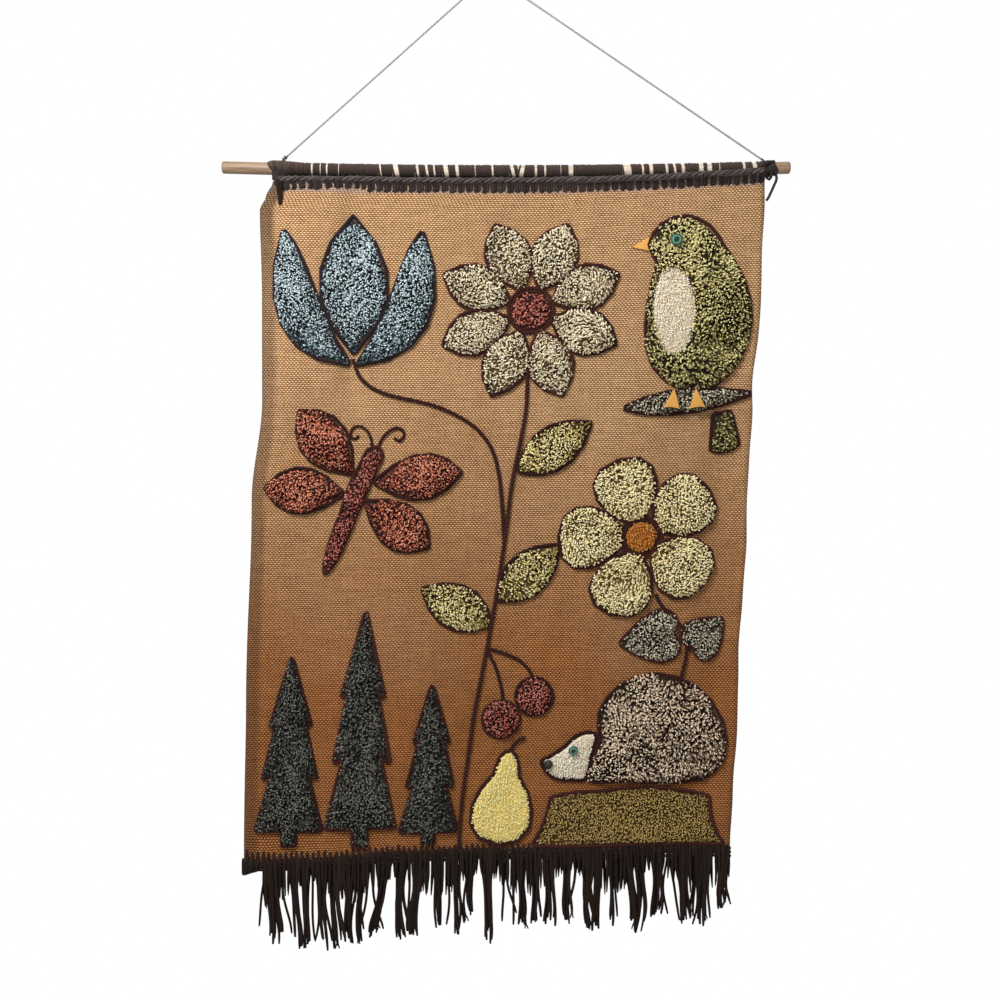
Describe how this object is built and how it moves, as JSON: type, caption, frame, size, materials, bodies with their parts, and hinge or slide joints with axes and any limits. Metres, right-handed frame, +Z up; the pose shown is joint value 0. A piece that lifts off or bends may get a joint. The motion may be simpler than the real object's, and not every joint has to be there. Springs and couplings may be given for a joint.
{
  "type": "latch hook wall hanging and its rod",
  "caption": "Hessian wall hanging with raised cut-pile flowers, trees, a bird and a hedgehog, laced under a wooden rod, with a dark yarn fringe and a hanging cord.",
  "frame": {"origin": "where the hanging cord passes over its nail", "axes": "+X to the right along the rod and +Z up, seen from the worked face, which looks along -Y; the wall is at +Y"},
  "size_m": [0.693, 0.0353, 1.1849],
  "materials": {
    "birch": "bare sanded birch",
    "dark_yarn": "black-brown acrylic yarn",
    "hanging_cord": "gray twisted cord",
    "hessian": "plain-woven jute",
    "blue_pile": "cut pile, blue heather yarn",
    "sage_pile": "cut pile, pale sage heather yarn",
    "cream_pile": "sheared pile, cream yarn",
    "green_pile": "cut pile, green and black heather yarn",
    "rust_pile": "cut pile, rust and orange heather yarn",
    "maroon_pile": "cut pile, maroon yarn",
    "brown_pile": "cut pile, brown and cream heather yarn",
    "olive_pile": "sheared pile, olive yarn",
    "lime_pile": "cut pile, lime heather yarn",
    "teal_pile": "cut pile, dark teal heather yarn",
    "honey_pile": "cut pile, honey and olive heather yarn",
    "yellow_pile": "cut pile, pale yellow yarn",
    "orange_felt": "wool felt",
    "eye_button": "ringed green button",
    "black_button": "domed black button"
  },
  "bodies": {
    "root": {"dowel": "birch", "rod_wrap": "dark_yarn", "top_binding": "dark_yarn", "rod_knot": "dark_yarn", "knot_tail": "dark_yarn", "fringe": "dark_yarn", "hanger_cord": "hanging_cord", "ground_cloth": "hessian", "daisy_hub": "maroon_pile", "rose_hub": "orange_felt", "dragonfly_body": "maroon_pile", "bird_body": "green_pile", "bird_wing": "green_pile", "bird_tail": "green_pile", "bird_breast": "cream_pile", "twig": "brown_pile", "bird_eye": "eye_button", "bird_beak": "orange_felt", "bird_foot_1": "orange_felt", "bird_foot_2": "orange_felt", "hedgehog_coat": "brown_pile", "hedgehog_face": "cream_pile", "hedgehog_eye": "eye_button", "hedgehog_nose": "black_button", "mossy_bank": "olive_pile", "pear": "yellow_pile", "cherry_1": "maroon_pile", "cherry_2": "maroon_pile", "heart_leaf_1": "teal_pile", "heart_leaf_2": "teal_pile", "tulip_petal_1": "blue_pile", "lime_leaf_1": "lime_pile", "fir_1": "teal_pile", "tulip_petal_2": "blue_pile", "lime_leaf_2": "lime_pile", "fir_2": "teal_pile", "tulip_petal_3": "blue_pile", "lime_leaf_3": "lime_pile", "fir_3": "teal_pile", "daisy_petal_1": "sage_pile", "daisy_petal_2": "sage_pile", "daisy_petal_3": "sage_pile", "daisy_petal_4": "sage_pile", "daisy_petal_5": "sage_pile", "daisy_petal_6": "sage_pile", "daisy_petal_7": "sage_pile", "daisy_petal_8": "sage_pile", "rose_petal_1": "honey_pile", "rose_petal_2": "honey_pile", "rose_petal_3": "honey_pile", "rose_petal_4": "honey_pile", "rose_petal_5": "honey_pile", "dragonfly_wing_1": "rust_pile", "dragonfly_wing_2": "rust_pile", "dragonfly_wing_3": "rust_pile", "dragonfly_wing_4": "rust_pile"}
  },
  "joints": []
}
